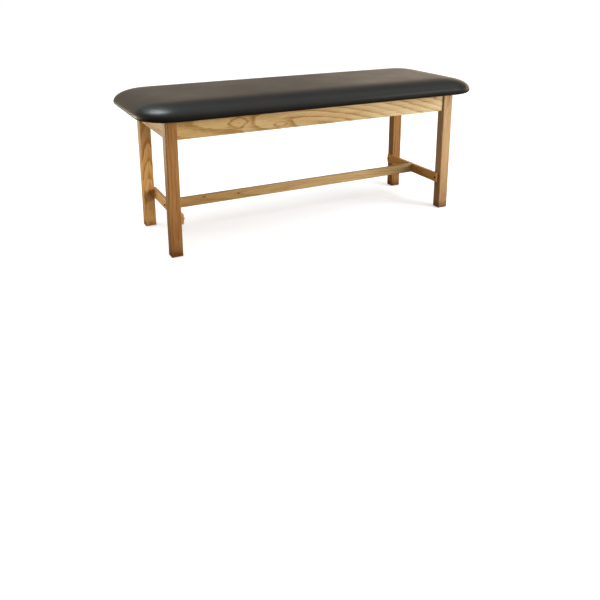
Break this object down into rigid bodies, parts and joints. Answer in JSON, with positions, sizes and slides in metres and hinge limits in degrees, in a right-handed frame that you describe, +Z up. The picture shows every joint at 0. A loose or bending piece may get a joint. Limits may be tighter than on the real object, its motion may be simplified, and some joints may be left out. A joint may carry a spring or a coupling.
{
  "type": "medical exam table",
  "caption": "Flat-top exam and treatment table: hardwood frame with an H-shaped lower brace and a thick vinyl pad with rounded, sloping edges and wide rounded corners",
  "frame": {"origin": "on the floor, under the middle of the table", "axes": "+X along the table to the right seen from its front, +Y from front to rear, +Z up"},
  "size_m": [1.9808, 0.7618, 0.787],
  "materials": {
    "hardwood": "satin",
    "plywood": "matte",
    "vinyl": "satin",
    "foam": "matte",
    "bolt_black": "satin",
    "zinc": "satin",
    "insert_brass": "satin",
    "glide_nylon": "matte"
  },
  "bodies": {
    "root": {"bearer_left": "hardwood", "bearer_middle": "hardwood", "bearer_right": "hardwood", "corner_block_front_left": "hardwood", "corner_block_front_right": "hardwood", "corner_block_rear_left": "hardwood", "corner_block_rear_right": "hardwood", "front_rail": "hardwood", "glide_front_left": "glide_nylon", "glide_front_right": "glide_nylon", "glide_rear_left": "glide_nylon", "glide_rear_right": "glide_nylon", "hanger_bolt_front_left": "zinc", "hanger_bolt_front_right": "zinc", "hanger_bolt_rear_left": "zinc", "hanger_bolt_rear_right": "zinc", "hanger_nut_front_left": "zinc", "hanger_nut_front_right": "zinc", "hanger_nut_rear_left": "zinc", "hanger_nut_rear_right": "zinc", "hanger_washer_front_left": "zinc", "hanger_washer_front_right": "zinc", "hanger_washer_rear_left": "zinc", "hanger_washer_rear_right": "zinc", "left_barrel_nut": "zinc", "left_centre_bolt": "bolt_black", "left_cross_brace": "hardwood", "left_end_rail": "hardwood", "leg_bolt_front_left": "bolt_black", "leg_bolt_front_right": "bolt_black", "leg_bolt_rear_left": "bolt_black", "leg_bolt_rear_right": "bolt_black", "leg_front_left": "hardwood", "leg_front_right": "hardwood", "leg_rear_left": "hardwood", "leg_rear_right": "hardwood", "long_brace": "hardwood", "pad_cover": "vinyl", "pad_foam": "foam", "panel_screw_left_front": "zinc", "panel_screw_left_rear": "zinc", "panel_screw_middle_front": "zinc", "panel_screw_middle_rear": "zinc", "panel_screw_right_front": "zinc", "panel_screw_right_rear": "zinc", "rear_rail": "hardwood", "right_barrel_nut": "zinc", "right_centre_bolt": "bolt_black", "right_cross_brace": "hardwood", "right_end_rail": "hardwood", "threaded_insert_front_left": "insert_brass", "threaded_insert_front_right": "insert_brass", "threaded_insert_rear_left": "insert_brass", "threaded_insert_rear_right": "insert_brass", "top_panel": "plywood"}
  },
  "joints": []
}
